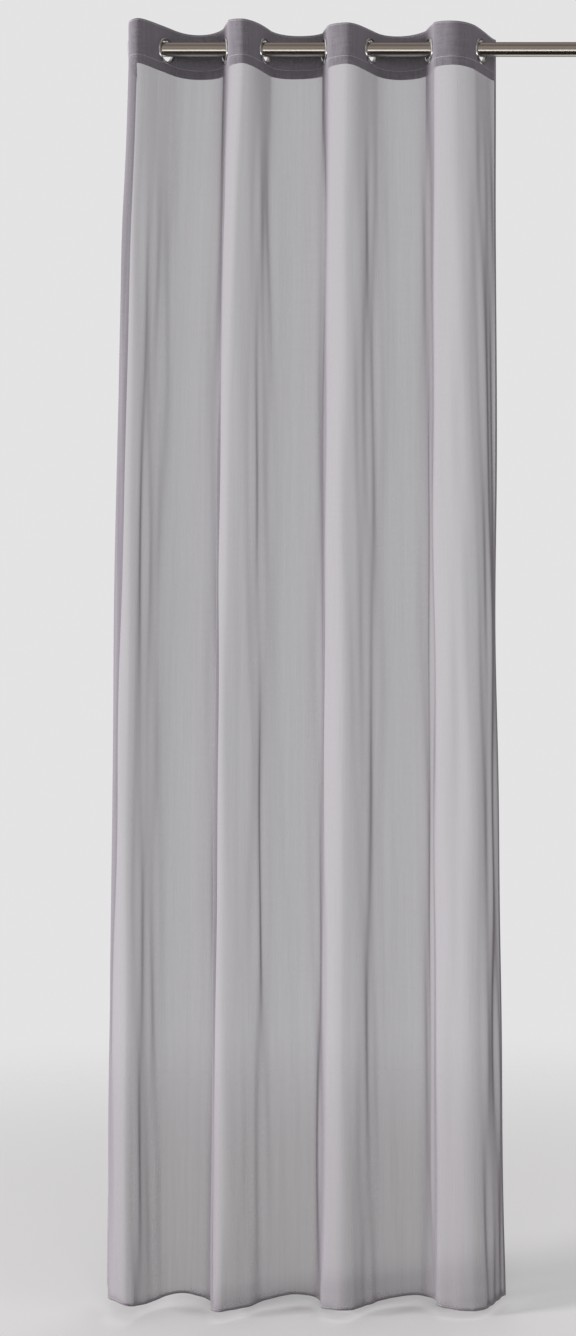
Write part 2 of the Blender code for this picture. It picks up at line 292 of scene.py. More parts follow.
CLOTH_WIDTH = 1.32
CLOTH_DROP = 2.50
TAIL = 0.068
EYELET_COUNT = 8
EYELET_SPACING = (CLOTH_WIDTH - 2 * TAIL) / (EYELET_COUNT - 1)
EYELETS_ALONG = TAIL + EYELET_SPACING * np.arange(EYELET_COUNT)
EYELET_DROP = 0.0035
EYELET_FROM_TOP = 0.045
BAND_DEPTH = 0.087
BAND_FOOT = EYELET_FROM_TOP - EYELET_DROP - BAND_DEPTH
HEM_DROP = CLOTH_DROP - BAND_DEPTH
# The cloth is flat this far to each side of an eyelet's middle. How far down the flats reach before they
# fade out, and how far up the hem's rises do.
FLAT_HALF = 0.0275
FLAT_FADE = 0.30
HEM_FADE = 0.40

# How the cloth hangs. Each row is one line down the cloth: its side hems, the lines through the eyelets,
# and between them the foremost line of each crest and the hindmost line of each valley. The x columns
# give the line's place along the rod at the drops below the heading band that FOLD_DROPS gives. The rise
# columns say how far the top edge and the bottom hem lie above their even height there.
FOLD_DROPS = (0.0, 0.45, 1.55, 2.41)
FOLDS = (
    # line         x_band   x_upper  x_lower   x_hem top_rise hem_rise
    ("left_hem", -0.4640, -0.4790, -0.5055, -0.5225, -0.0035, 0.0240),
    ("eyelet_1", -0.4625, -0.4805, -0.5035, -0.5100, -0.0035, 0.0190),
    ("crest_1", -0.4450, -0.4535, -0.4655, -0.4685, -0.0010, 0.0190),
    ("eyelet_2", -0.3965, -0.4090, -0.4265, -0.4305, 0.0025, 0.0015),
    ("valley_1", -0.3325, -0.3510, -0.3685, -0.3745, 0.0015, 0.0070),
    ("eyelet_3", -0.2755, -0.2865, -0.2975, -0.3060, 0.0070, 0.0005),
    ("crest_2", -0.2430, -0.2630, -0.2805, -0.2850, -0.0015, 0.0030),
    ("eyelet_4", -0.2035, -0.2055, -0.2125, -0.2165, 0.0030, 0.0010),
    ("valley_2", -0.1465, -0.1430, -0.1350, -0.1310, -0.0015, 0.0050),
    ("eyelet_5", -0.0800, -0.0840, -0.0895, -0.0935, -0.0030, 0.0005),
    ("crest_3", -0.0410, -0.0465, -0.0515, -0.0535, -0.0075, 0.0045),
    ("eyelet_6", 0.0045, 0.0045, 0.0035, 0.0035, -0.0035, -0.0010),
    ("valley_3", 0.0640, 0.0700, 0.0780, 0.0840, -0.0005, 0.0015),
    ("eyelet_7", 0.1255, 0.1235, 0.1275, 0.1295, 0.0025, 0.0070),
    ("crest_4", 0.1635, 0.1715, 0.1855, 0.1925, -0.0020, 0.0005),
    ("eyelet_8", 0.2215, 0.2260, 0.2360, 0.2430, -0.0015, -0.0020),
    ("right_hem", 0.2520, 0.2520, 0.2580, 0.2710, -0.0055, -0.0005),
)
# How the cloth lies at each eyelet's line: the angle, in degrees, between it and a line square to the rod,
# and how far it swells to the left between that line and the next line of FOLDS.
FLANKS = (
    # line      tilt_band tilt_hem swell_band swell_hem
    ("eyelet_1", -14, 9, 0.0, 0.0),
    ("eyelet_2", 30, 28, 0.0, 0.0),
    ("eyelet_3", 18, 5, 0.0095, 0.0040),
    ("eyelet_4", 15, 32, 0.0, 0.0),
    ("eyelet_5", 6, 13, 0.0095, 0.0080),
    ("eyelet_6", 25, 30, 0.0, 0.0),
    ("eyelet_7", 19, 24, 0.0120, 0.0180),
    ("eyelet_8", 24, 27, 0.0, 0.0),
)
# How fast the cloth runs along the rod at a crest, against the average there.
CREST_EASE = 1.2
CURVE_POINTS = 48
# The search for each fold's depth: where it starts, how often and how strongly it is mended.
FIRST_DEPTH = 0.06
DEPTH_ROUNDS = 12
DEPTH_STEP = 1.3

# The folds as a turn that grows by half a circle from one eyelet to the next: the cloth lies behind the
# rod where its sine is below zero. A tail turns by TAIL_TURN before it ends.
TAIL_TURN = 1.0
FOLD_TURN = math.pi * (EYELET_COUNT - 1)
LINE_TURNS = np.linspace(0, FOLD_TURN, len(FOLDS) - 2)
TURNS = np.array([-TAIL_TURN, *LINE_TURNS, FOLD_TURN + TAIL_TURN])
LINE_X = np.array([row[1:5] for row in FOLDS])
TOP_RISE = np.array([row[5] for row in FOLDS])
HEM_RISE = np.array([row[6] for row in FOLDS])
TILTS = np.radians([row[1:3] for row in FLANKS])
SWELLS = np.array([row[3:] for row in FLANKS])
EYELET_LINES = slice(1, -1, 2)
CREST_LINES = slice(2, -2, 2)
CLOTH_LENGTHS = np.array([TAIL] + [EYELET_SPACING] * (EYELET_COUNT - 1) + [TAIL])


def hermite(knots, values, slopes, at):
    """A smooth curve through the values at the knots, with the slopes given there, read at some places."""
    knots = np.asarray(knots, float)
    span = np.clip(np.searchsorted(knots, at, side="right") - 1, 0, len(knots) - 2)
    width = knots[span + 1] - knots[span]
    t = (at - knots[span]) / width
    ends = values[span] * (2 * t**3 - 3 * t**2 + 1) + values[span + 1] * (3 * t**2 - 2 * t**3)
    return ends + width * (slopes[span] * (t**3 - 2 * t**2 + t) + slopes[span + 1] * (t**3 - t**2))


def fold_turns():
    """The turn at each point of the cloth's curve: CURVE_POINTS from each line of FOLDS to the next."""
    steps = np.arange(CURVE_POINTS) / CURVE_POINTS
    spans = [start + (end - start) * steps for start, end in zip(TURNS, TURNS[1:])]
    return np.append(np.concatenate(spans), TURNS[-1])


@functools.cache
def plan_curve(drop):
    """The cloth seen from above at one drop below the heading band: each point's distance along the cloth
    from its left side hem, and its x and y. A fold is as deep as the cloth between two eyelets allows."""
    turn = fold_turns()
    lines = np.array([hermite(FOLD_DROPS, row, np.gradient(row, FOLD_DROPS), drop) for row in LINE_X])
    share = drop / FOLD_DROPS[-1]
    tilts = TILTS[:, 0] + (TILTS[:, 1] - TILTS[:, 0]) * share
    swell = np.zeros(len(FOLDS))
    swell[EYELET_LINES] = SWELLS[:, 0] + (SWELLS[:, 1] - SWELLS[:, 0]) * share
    swell = np.append(np.repeat(swell[:-1], CURVE_POINTS), 0)
    joints = CURVE_POINTS * np.array([0, *range(1, len(FOLDS), 2), len(FOLDS) - 1])
    depths = np.full(len(CLOTH_LENGTHS), FIRST_DEPTH)
    for _ in range(DEPTH_ROUNDS):
        reach = np.empty(len(FOLDS))
        reach[[0, -1]] = depths[[0, -1]]
        reach[CREST_LINES] = depths[1:-1]
        reach[EYELET_LINES] = (depths[:-1] + depths[1:]) / 2
        slopes = CREST_EASE * np.gradient(lines, TURNS)
        slopes[EYELET_LINES] = reach[EYELET_LINES] * np.tan(tilts)
        x = hermite(TURNS, lines, slopes, turn) - swell * np.sin(2 * turn) ** 2
        y = -hermite(TURNS, reach, np.zeros(len(FOLDS)), turn) * np.sin(turn)
        along = np.append(0, np.cumsum(np.hypot(np.diff(x), np.diff(y))))
        depths *= (CLOTH_LENGTHS / np.diff(along[joints])) ** DEPTH_STEP
    return along, x, y


def on_curve(curve, along):
    return np.stack([np.interp(along, curve[0], curve[1]), np.interp(along, curve[0], curve[2])], axis=1)


def row_points(along, drop):
    """The x and y of points of the cloth at one drop. The cloth is flat where the eyelets clamp it, and the
    flat fades out below the heading band."""
    curve = plan_curve(drop)
    place = on_curve(curve, along)
    flatness = 0.5 + 0.5 * math.cos(math.pi * min(drop / FLAT_FADE, 1.0))
    for middle in EYELETS_ALONG:
        inside = np.abs(along - middle) < FLAT_HALF
        ends = np.array([middle - FLAT_HALF, middle + FLAT_HALF])
        left, right = on_curve(curve, ends)
        share = (along[inside, None] - ends[0]) / (ends[1] - ends[0])
        place[inside] += flatness * (left + (right - left) * share - place[inside])
    return place


# How far to each side the cloth's direction is measured.
REACH_ASIDE = 0.003


def hang(along, down, lift):
    """Where points of the flat cloth lie once it hangs, lifted out of its face side by so much. They are
    given by their distance from the left side hem and by their drop below the heading band."""
    turn = np.interp(along, plan_curve(0.0)[0], fold_turns())
    top_rise, hem_rise = (
        hermite(TURNS, row, np.gradient(row, TURNS), turn) for row in (TOP_RISE, HEM_RISE)
    )
    height = BAND_FOOT - down + top_rise * np.maximum(-down, 0.0) / BAND_DEPTH
    height += hem_rise * np.maximum(down - HEM_DROP + HEM_FADE, 0.0) / HEM_FADE
    points = np.column_stack([along, along, height])
    level = np.maximum(down, 0.0)
    for drop in np.unique(level):
        row = level == drop
        before = row_points(np.maximum(along[row] - REACH_ASIDE, 0.0), drop)
        after = row_points(np.minimum(along[row] + REACH_ASIDE, CLOTH_WIDTH), drop)
        run = (after - before) / np.linalg.norm(after - before, axis=1, keepdims=True)
        out = np.stack([run[:, 1], -run[:, 0]], axis=1)
        points[row, :2] = row_points(along[row], drop) + out * lift[row, None]
    return points


def smooth_step(value):
    share = np.clip(value, 0.0, 1.0)
    return share * share * (3 - 2 * share)


# The soft creases that show in the cloth, from a top point to a foot point. A ridge lifts out of the face
# side and a trough, with a depth below zero, sinks into it.
CREASES = (
    # name            along_top drop_top along_foot drop_foot half_width depth
    ("crest_2_fall", 0.551, 0.20, 0.592, 1.90, 0.010, -0.0022),
    ("crest_2_side", 0.520, 0.35, 0.530, 1.35, 0.008, 0.0012),
    ("crest_3_fall", 0.929, 0.16, 0.932, 0.75, 0.009, -0.0020),
    ("crest_3_low", 0.925, 1.15, 0.940, 2.20, 0.011, -0.0018),
    ("valley_3_line", 1.073, 0.60, 1.074, 2.34, 0.006, 0.0022),
    ("valley_1_slant", 0.327, 0.88, 0.293, 1.70, 0.006, 0.0024),
    ("valley_1_fall", 0.350, 0.30, 0.345, 1.50, 0.012, -0.0018),
    ("crest_1_fall", 0.190, 0.22, 0.205, 1.60, 0.010, -0.0016),
    ("valley_2_fall", 0.690, 0.40, 0.700, 2.00, 0.013, 0.0016),
    ("crest_4_fall", 1.170, 0.50, 1.160, 1.90, 0.011, -0.0018),
    ("right_tail", 1.262, 0.30, 1.270, 1.80, 0.010, 0.0014),
)
CREASE_FADE = 0.22
# The cloth's small unevenness: waves of seeded lengths, heights and places.
RIPPLE_SEED = 7
RIPPLE_COUNT = 26
RIPPLE_ACROSS = (0.030, 0.120)
RIPPLE_DOWN = (0.5, 2.2)
RIPPLE_HEIGHT = 0.00042
RIPPLE_SHARES = (0.4, 1.0)
RIPPLE_FADE = 0.35
# The hem's flutter: waves that are drawn out and squeezed by a slower wave of so many radians, which turns
# by so many radians a metre.
HEM_FLUTTER = 0.0016
HEM_FLUTTER_LENGTH = 0.085
HEM_FLUTTER_FADE = 0.16
HEM_DRIFT = 2.0
HEM_DRIFT_TURN = 9.0


def unevenness(along, down):
    """How far creases, ripples and the hem's flutter move the panel out of its face side."""
    lift = np.zeros(along.shape)
    random = np.random.default_rng(RIPPLE_SEED)
    for _ in range(RIPPLE_COUNT):
        length, fall = random.uniform(*RIPPLE_ACROSS), random.uniform(*RIPPLE_DOWN)
        start, slant = random.uniform(0, math.tau), random.choice((-1, 1))
        wave = np.sin(math.tau * (along / length + slant * down / fall) + start)
        lift += RIPPLE_HEIGHT * wave * random.uniform(*RIPPLE_SHARES)
    for _, along_top, drop_top, along_foot, drop_foot, half_width, depth in CREASES:
        share = (down - drop_top) / (drop_foot - drop_top)
        aside = (along - along_top - (along_foot - along_top) * share) / half_width
        from_ends = np.minimum(down - drop_top, drop_foot - down) / CREASE_FADE
        lift += depth * np.exp(-(aside**2)) * smooth_step(from_ends)
    drift = HEM_DRIFT * np.sin(along * HEM_DRIFT_TURN)
    flutter = np.sin(math.tau * along / HEM_FLUTTER_LENGTH + drift)
    lift += HEM_FLUTTER * flutter * smooth_step(1 - (HEM_DROP - down) / HEM_FLUTTER_FADE)
    return lift * smooth_step(down / RIPPLE_FADE)


HOLE_RADIUS = 0.0222
EYELET_DOWN = EYELET_FROM_TOP - BAND_DEPTH
# The cloth's UV map is so wide and high on the flat cloth, and starts so far outside its lower left corner.
PATTERN_SPAN = 2.60
PATTERN_EDGE = 0.03


def cloth_sheet(name, columns, rows, uneven):
    """A sheet of hung cloth. Each column and row is a place on the flat cloth, the place where it lies once
    hems are turned, and its lift there. The eyelets' holes are cut out. The UV map holds the flat cloth."""
    grid = (len(rows), len(columns))
    flat = np.stack(np.meshgrid(columns[:, 0], rows[:, 0]), axis=-1).reshape(-1, 2)
    turned = np.stack(np.meshgrid(columns[:, 1], rows[:, 1]), axis=-1).reshape(-1, 2)
    lift = np.add.outer(rows[:, 2], columns[:, 2]).ravel()
    corner = np.arange(len(flat)).reshape(grid)
    faces = np.stack([corner[:-1, :-1], corner[1:, :-1], corner[1:, 1:], corner[:-1, 1:]], axis=-1)
    faces = faces.reshape(-1, 4)
    for middle in EYELETS_ALONG:
        hub = np.array([middle, EYELET_DOWN])
        gone = np.linalg.norm(flat[faces].mean(axis=1) - hub, axis=1) < HOLE_RADIUS
        rim = np.intersect1d(faces[gone], faces[~gone])
        away = flat[rim] - hub
        flat[rim] = hub + away * HOLE_RADIUS / np.linalg.norm(away, axis=1, keepdims=True)
        turned[rim] = flat[rim]
        faces = faces[~gone]
    used, faces = np.unique(faces, return_inverse=True)
    faces = faces.reshape(-1, 4)
    along, down = turned[used].T
    points = hang(along, down, lift[used] + (unevenness(along, down) if uneven else 0.0))
    mesh = bpy.data.meshes.new(name)
    mesh.from_pydata(points.tolist(), [], faces.tolist())
    pattern = mesh.uv_layers.new(name="cloth")
    place = flat[used][faces.ravel()] * (1, -1) + (PATTERN_EDGE, HEM_DROP + PATTERN_EDGE)
    pattern.data.foreach_set("uv", (place / PATTERN_SPAN).ravel())
    mesh.shade_smooth()
    piece = bpy.data.objects.new(name, mesh)
    bpy.context.scene.collection.objects.link(piece)
    return piece


COLUMN_STEP = 0.0042
ROW_STEP = 0.020
BAND_ROW_STEP = 0.0045
SIDE_HEM = 0.005
FOOT_HEM = 0.005
HEM_BEND = 0.0006
# How far behind the cloth the turned layers of a hem lie: the outer one, then the raw edge inside it. The
# foot's lie further apart, so that they clear the side hems' at the corners.
SIDE_LAYERS = (-0.0006, -0.00025)
FOOT_LAYERS = (-0.0009, -0.0005)


def evenly(start, end, step):
    return np.linspace(start, end, round((end - start) / step) + 1)


def turned_hem(edge, outwards, depth, layers):
    """A hem turned over twice behind an edge: places on the flat cloth, where they lie, and their lift."""
    outer, inner = layers
    return [
        (edge + outwards * HEM_BEND, edge, outer),
        (edge + outwards * (depth - HEM_BEND), edge - outwards * depth, outer),
        (edge + outwards * (depth + HEM_BEND), edge - outwards * depth, inner),
        (edge + outwards * 2 * depth, edge - outwards * HEM_BEND, inner),
    ]


def unturned(places):
    return [(place, place, 0.0) for place in places]


panel_columns = np.array(
    turned_hem(0.0, -1, SIDE_HEM, SIDE_LAYERS)[::-1]
    + unturned(evenly(0.0, CLOTH_WIDTH, COLUMN_STEP))
    + turned_hem(CLOTH_WIDTH, 1, SIDE_HEM, SIDE_LAYERS)
)
panel_rows = np.array(
    unturned(evenly(-BAND_DEPTH, 0.0, BAND_ROW_STEP))
    + unturned(evenly(0.0, HEM_DROP, ROW_STEP)[1:])
    + turned_hem(HEM_DROP, 1, FOOT_HEM, FOOT_LAYERS)
)
panel = cloth_sheet("voile_panel", panel_columns, panel_rows, uneven=True)

# The voile's look. Yarns, slubs and streaks are counted in places where the noise changes, for each metre
# of flat cloth. The shares say how much each of them counts in the cloth's density.
VOILE_COLOUR = (0.233, 0.212, 0.238)
VOILE_SHADE = (0.151, 0.137, 0.154)
VOILE_ROUGHNESS = 0.92
VOILE_HEIGHT = 0.00012
VOILE_OPACITY = 0.55
VOILE_SPREAD = 0.24
VOILE_YARNS = 900.0
VOILE_SLUBS = 9.0
VOILE_STREAKS = 75.0
VOILE_STREAK_FALL = 1.2
WARP_SHARE = 0.40
WEFT_SHARE = 0.25
STREAK_SHARE = 0.35
# The yarns close up where the cloth is seen at a slant, and most of all near its folds' outlines.
LEAST_FACING = 0.16
SLANT_POWER = -2.0
SLANT_SHARE = 0.16


def sheer_voile(place):
    warp = place.noise((VOILE_YARNS * PATTERN_SPAN, VOILE_SLUBS * PATTERN_SPAN, 1.0))
    weft = place.noise((VOILE_SLUBS * PATTERN_SPAN, VOILE_YARNS * PATTERN_SPAN, 1.0))
    streak = place.noise((VOILE_STREAKS * PATTERN_SPAN, VOILE_STREAK_FALL * PATTERN_SPAN, 1.0))
    density = WARP_SHARE * warp + WEFT_SHARE * weft + STREAK_SHARE * streak
    facing = place.node("ShaderNodeLayerWeight", {}, {"Blend": 0.5}, output=1)
    straight_on = (1.0 - facing).at_least(LEAST_FACING)
    bare = 1.0 - (VOILE_OPACITY + VOILE_SPREAD * (density - 0.5))
    layers = 1.0 + SLANT_SHARE * (straight_on**SLANT_POWER - 1.0)
    return {
        "Base Color": density.between(VOILE_SHADE, VOILE_COLOUR),
        "Roughness": VOILE_ROUGHNESS,
        "Alpha": 1.0 - bare**layers,
        "Normal": (warp + weft).bump(VOILE_HEIGHT),
    }


voile = finish_material("sheer_voile", "cloth", sheer_voile)
finish_piece(panel, voile, "voile", "curtain_panel")


# ---- The heading band --------------------------------------------------------------------------------
# A close, slubby woven strip, 87 mm deep, that is sewn to the back of the panel's top and stiffens it for
# the eyelets. Its lowest 18 mm is folded double, and its colour there is painted darker: painted shade.

BAND_MARGIN = 0.004
BAND_LIFT = -0.0016
BAND_FOLD = 0.018
BAND_FOLD_LAYER = -0.0005
BAND_COLOUR = (0.164, 0.151, 0.168)
BAND_SHADE = (0.022, 0.020, 0.0225)
BAND_ROUGHNESS = 0.88
BAND_HEIGHT = 0.00035
BAND_OPACITY = 0.84
BAND_SPREAD = 0.30
# Its yarns are counted as the voile's are: fine and coarse ones, both ways, with slubs along them.
BAND_YARNS = 420.0
BAND_SLUBS = 26.0
BAND_COARSE = 120.0
FINE_WARP_SHARE = 0.22
FINE_WEFT_SHARE = 0.18
COARSE_WARP_SHARE = 0.34
COARSE_WEFT_SHARE = 0.26
# How strongly the yarns mottle the band, how dark it is as a whole, and how much darker its colour is
# painted where it is folded double: painted shade.
BAND_MOTTLE = 7.0
BAND_DARKNESS = 2.95
BAND_PAINTED_FOLD_SHADE = 0.12
BAND_SEAM_BLUR = 0.0008

band_edges = evenly(BAND_MARGIN, CLOTH_WIDTH - BAND_MARGIN, COLUMN_STEP)
band_columns = np.array([(place, place, BAND_LIFT) for place in band_edges])
band_rows = np.array(
    unturned(evenly(-BAND_DEPTH, 0.0, BAND_ROW_STEP))
    + [(HEM_BEND, 0.0, BAND_FOLD_LAYER), (BAND_FOLD, -BAND_FOLD, BAND_FOLD_LAYER)]
)
band = cloth_sheet("heading_tape", band_columns, band_rows, uneven=False)


def slubby_weave(place):
    warp = place.noise((BAND_YARNS * PATTERN_SPAN, BAND_SLUBS * PATTERN_SPAN, 1.0), detail=3.0)
    weft = place.noise((BAND_SLUBS * PATTERN_SPAN, BAND_YARNS * PATTERN_SPAN, 1.0), detail=3.0)
    coarse_warp = place.noise((BAND_COARSE * PATTERN_SPAN, BAND_SLUBS * PATTERN_SPAN, 1.0))
    coarse_weft = place.noise((BAND_SLUBS * PATTERN_SPAN, BAND_COARSE * PATTERN_SPAN, 1.0))
    fine = FINE_WARP_SHARE * warp + FINE_WEFT_SHARE * weft
    yarn = fine + COARSE_WARP_SHARE * coarse_warp + COARSE_WEFT_SHARE * coarse_weft
    height = place.node("ShaderNodeSeparateXYZ", {}, {"Vector": place}, output=1)
    fold_height = (HEM_DROP + PATTERN_EDGE + BAND_FOLD) / PATTERN_SPAN
    # Painted shade: the base colour is darkened over the strip that is folded double.
    double = (fold_height - height) * (PATTERN_SPAN / BAND_SEAM_BLUR)
    double = double.at_least(0.0).at_most(1.0)
    brightness = BAND_MOTTLE * yarn - BAND_DARKNESS - BAND_PAINTED_FOLD_SHADE * double
    return {
        "Base Color": brightness.between(BAND_SHADE, BAND_COLOUR),
        "Roughness": BAND_ROUGHNESS,
        "Alpha": (BAND_OPACITY + BAND_SPREAD * yarn).at_most(1.0),
        "Normal": (warp + weft).bump(BAND_HEIGHT),
    }


heading_cloth = finish_material("slubby_heading_cloth", "cloth", slubby_weave)
finish_piece(band, heading_cloth, "heading_cloth", "heading_band")


# ---- The stitching -----------------------------------------------------------------------------------
# Polyester thread in straight stitches: two rows through the panel and the heading band, one along each
# side hem and one along the bottom hem.

STITCH = 0.0026
STITCH_GAP = 0.0009
# A bead rises from the cloth over this share of its length, at either end.
STITCH_RISE = 0.22
THREAD = 0.00038
THREAD_COLOUR = (0.52, 0.48, 0.51)
THREAD_SHADE = (0.36, 0.33, 0.35)
THREAD_ROUGHNESS = 0.7
THREAD_TWIST = 1800.0
# How far inside the edge that it holds down each seam runs.
TOP_SEAM_IN = 0.003
FOLD_SEAM_IN = 0.0012
HEM_SEAM_IN = 0.001
BAND_SEAMS = (TOP_SEAM_IN - BAND_DEPTH, FOLD_SEAM_IN - BAND_FOLD)
# No stitch lies nearer than this to an eyelet's middle.
RING_COVER = 0.0265


def stitch_row(start, end):
    """The ends of the stitches of one row: an array of first points and one of last points."""
    start, end = np.array(start), np.array(end)
    length = np.linalg.norm(end - start)
    places = np.arange(STITCH_GAP, length - STITCH, STITCH + STITCH_GAP)[:, None]
    step = (end - start) / length
    return start + step * places, start + step * (places + STITCH)


rows = [stitch_row((BAND_MARGIN, seam), (CLOTH_WIDTH - BAND_MARGIN, seam)) for seam in BAND_SEAMS]
side_seam = SIDE_HEM - HEM_SEAM_IN
for edge in (side_seam, CLOTH_WIDTH - side_seam):
    rows.append(stitch_row((edge, -BAND_DEPTH), (edge, HEM_DROP)))
foot_seam = HEM_DROP - FOOT_HEM + HEM_SEAM_IN
rows.append(stitch_row((SIDE_HEM, foot_seam), (CLOTH_WIDTH - SIDE_HEM, foot_seam)))
first, last = (np.concatenate(ends) for ends in zip(*rows))
middles = (first + last) / 2
clear = np.ones(len(middles), bool)
for eyelet in EYELETS_ALONG:
    clear &= np.linalg.norm(middles - (eyelet, EYELET_DOWN), axis=1) > RING_COVER


def thread_points(flat, thickness):
    along, down = flat.T
    return hang(along, down, unevenness(along, down) + thickness)


def stitches(name, first, last):
    """Each stitch as a flat bead: a spine that rises from the cloth, between two ends sunk into it."""
    step = last - first
    aside = np.column_stack([-step[:, 1], step[:, 0]]) / np.linalg.norm(step, axis=1, keepdims=True)
    risen = first + step * STITCH_RISE
    falling = last - step * STITCH_RISE
    corners = [
        thread_points(first, 0.0),
        thread_points(risen + aside * THREAD, 0.0),
        thread_points(risen, THREAD),
        thread_points(risen - aside * THREAD, 0.0),
        thread_points(falling + aside * THREAD, 0.0),
        thread_points(falling, THREAD),
        thread_points(falling - aside * THREAD, 0.0),
        thread_points(last, 0.0),
    ]
    points = np.stack(corners, axis=1)
    bead = ((0, 2, 1), (0, 3, 2), (1, 2, 5, 4), (2, 3, 6, 5), (4, 5, 7), (5, 6, 7))
    starts = range(0, points[..., 0].size, len(corners))
    faces = [[start + corner for corner in face] for start in starts for face in bead]
    mesh = bpy.data.meshes.new(name)
    mesh.from_pydata(points.reshape(-1, 3).tolist(), [], faces)
    mesh.shade_smooth()
    piece = bpy.data.objects.new(name, mesh)
    bpy.context.scene.collection.objects.link(piece)
    return piece


def thread_finish(place):
    twist = place.noise((THREAD_TWIST, THREAD_TWIST, THREAD_TWIST))
    return {"Base Color": twist.between(THREAD_SHADE, THREAD_COLOUR), "Roughness": THREAD_ROUGHNESS}


thread = finish_material("sewing_thread", "object", thread_finish)
seams = stitches("stitching", first[clear], last[clear])
finish_piece(seams, thread, "voile")


# ---- The eyelets -------------------------------------------------------------------------------------
# Pressed steel rings with a bright chrome plate, 40 mm inside and 52 mm outside. A domed front ring holds a
# short barrel through the cloth, and a back ring snaps onto the barrel behind the band.

RING_SIDES = 72
RING_BORE = 0.020
RING_EDGE = 0.026
RING_WALL = 0.0013
RING_DOME = 0.0033
RING_SEAT = 0.0003
RING_STEPS = 12
BARREL_RADIUS = RING_BORE + RING_WALL
BARREL_END = -0.0046
BACK_CLEARANCE = 0.0003
BACK_SEAT = -0.0019
BACK_SWELL = 0.0023
BACK_STEPS = 8
CHROME_COLOUR = (0.80, 0.80, 0.81)
CHROME_SHADE = (0.66, 0.66, 0.68)
# The chrome is rubbed duller in places, and its grain is hardly there.
CHROME_ROUGHNESS = 0.10
CHROME_RUB = 55.0
CHROME_RUB_ROUGHNESS = 0.10
CHROME_GRAIN = 900.0
CHROME_GRAIN_HEIGHT = 0.00002


def rolled(inner, outer, seat, swell, steps):
    """A half-round section between two radii, from the outer edge over its top to the inner edge."""
    half, middle = (outer - inner) / 2, (outer + inner) / 2
    turns = [math.pi * step / steps for step in range(steps + 1)]
    return [(middle + half * math.cos(turn), seat + swell * math.sin(turn)) for turn in turns]


def polished_chrome(place):
    rub = place.noise((CHROME_RUB, CHROME_RUB, CHROME_RUB), detail=4.0)
    grain = place.noise((CHROME_GRAIN, CHROME_GRAIN, CHROME_GRAIN))
    return {
        "Base Color": rub.between(CHROME_SHADE, CHROME_COLOUR),
        "Metallic": 1.0,
        "Roughness": CHROME_ROUGHNESS + CHROME_RUB_ROUGHNESS * rub,
        "Normal": grain.bump(CHROME_GRAIN_HEIGHT),
    }


chrome = finish_material("polished_chrome", "object", polished_chrome)

dome = rolled(RING_BORE, RING_EDGE, RING_SEAT, RING_DOME, RING_STEPS)
barrel = [(RING_BORE, BARREL_END), (BARREL_RADIUS, BARREL_END), (BARREL_RADIUS, RING_SEAT)]
front_model = turned_piece("front_ring", [*dome, *barrel, dome[0]], RING_SIDES)
close_piece(front_model)

swell = rolled(BARREL_RADIUS + BACK_CLEARANCE, RING_EDGE, BACK_SEAT, -BACK_SWELL, BACK_STEPS)
back_model = turned_piece("back_ring", [*swell, swell[0]], RING_SIDES)
close_piece(back_model)

for number, eyelet in enumerate(EYELETS_ALONG, start=1):
    left, right = row_points(np.array([eyelet - FLAT_HALF, eyelet + FLAT_HALF]), 0.0)
    run = right - left
    hub = (*((left + right) / 2), -EYELET_DROP)
    for model, node in ((front_model, "eyelet_front"), (back_model, "eyelet_back")):
        ring = model.copy()
        ring.data = model.data.copy()
        ring.name = ring.data.name = f"{model.name}_{number}"
        bpy.context.scene.collection.objects.link(ring)
        ring.rotation_euler = (math.pi / 2, 0, math.atan2(run[1], run[0]))
        ring.location = hub
        finish_piece(ring, chrome, "eyelet_metal", f"{node}_{number}")
for model in (front_model, back_model):
    bpy.data.objects.remove(model)


# ---- The studio --------------------------------------------------------------------------------------
# A pale floor just below the hem, a pale surround that it fades into, four soft lights and the camera,
# which looks squarely at the rod.

FLOOR_DROP = 0.014
FLOOR_MIDDLE = -0.12
FLOOR_HALF = 6.0
# The floor is whole as far as FLOOR_FULL from its middle, and gone from FLOOR_GONE.
FLOOR_FULL = 1.1
FLOOR_GONE = 3.4
FLOOR_COLOUR = (0.74, 0.73, 0.72)
FLOOR_ROUGHNESS = 0.9
SURROUND = (0.77, 0.77, 0.77)
AMBIENT = (0.46, 0.46, 0.47)

floor_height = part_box("curtain_panel")[0].z - FLOOR_DROP
bpy.ops.object.select_all(action="DESELECT")
bpy.ops.mesh.primitive_plane_add(size=2 * FLOOR_HALF, location=(FLOOR_MIDDLE, 0, floor_height))
floor = start_piece("studio_floor")


def fading_floor(place):
    from_middle = place.node("ShaderNodeVectorMath", {"operation": "LENGTH"}, {0: place}, output=1)
    shown = (FLOOR_GONE - from_middle) / (FLOOR_GONE - FLOOR_FULL)
    shown = shown.at_least(0.0).at_most(1.0)
    return {
        "Base Color": (*FLOOR_COLOUR, 1.0),
        "Roughness": FLOOR_ROUGHNESS,
        "Alpha": shown * shown * (3.0 - 2.0 * shown),
    }


floor.data.materials.append(finish_material("pale_floor", "object", fading_floor))
floor.visible_glossy = False

# The surround is an even pale colour to the camera, and lights the cloth evenly. What the metal reflects
# of it goes by the angle, in degrees, above level towards the camera, up to half a turn either way: bright
# strips among dim and dark ones, which pass into a bright side on the left and a dark one on the right.
MIRRORED = (
    (-158, (0.05, 0.05, 0.05)),
    (-144, (0.85, 0.82, 0.78)),
    (-112, (0.85, 0.82, 0.78)),
    (-100, (0.02, 0.02, 0.02)),
    (-39, (0.02, 0.02, 0.02)),
    (-34, (2.00, 1.97, 1.93)),
    (-25, (2.00, 1.97, 1.93)),
    (-19, (0.42, 0.37, 0.35)),
    (-8, (0.42, 0.37, 0.35)),
    (5, (0.27, 0.24, 0.22)),
    (22, (0.46, 0.41, 0.38)),
    (40, (0.24, 0.21, 0.20)),
    (60, (0.19, 0.17, 0.16)),
    (92, (0.40, 0.35, 0.33)),
    (140, (0.07, 0.06, 0.06)),
)
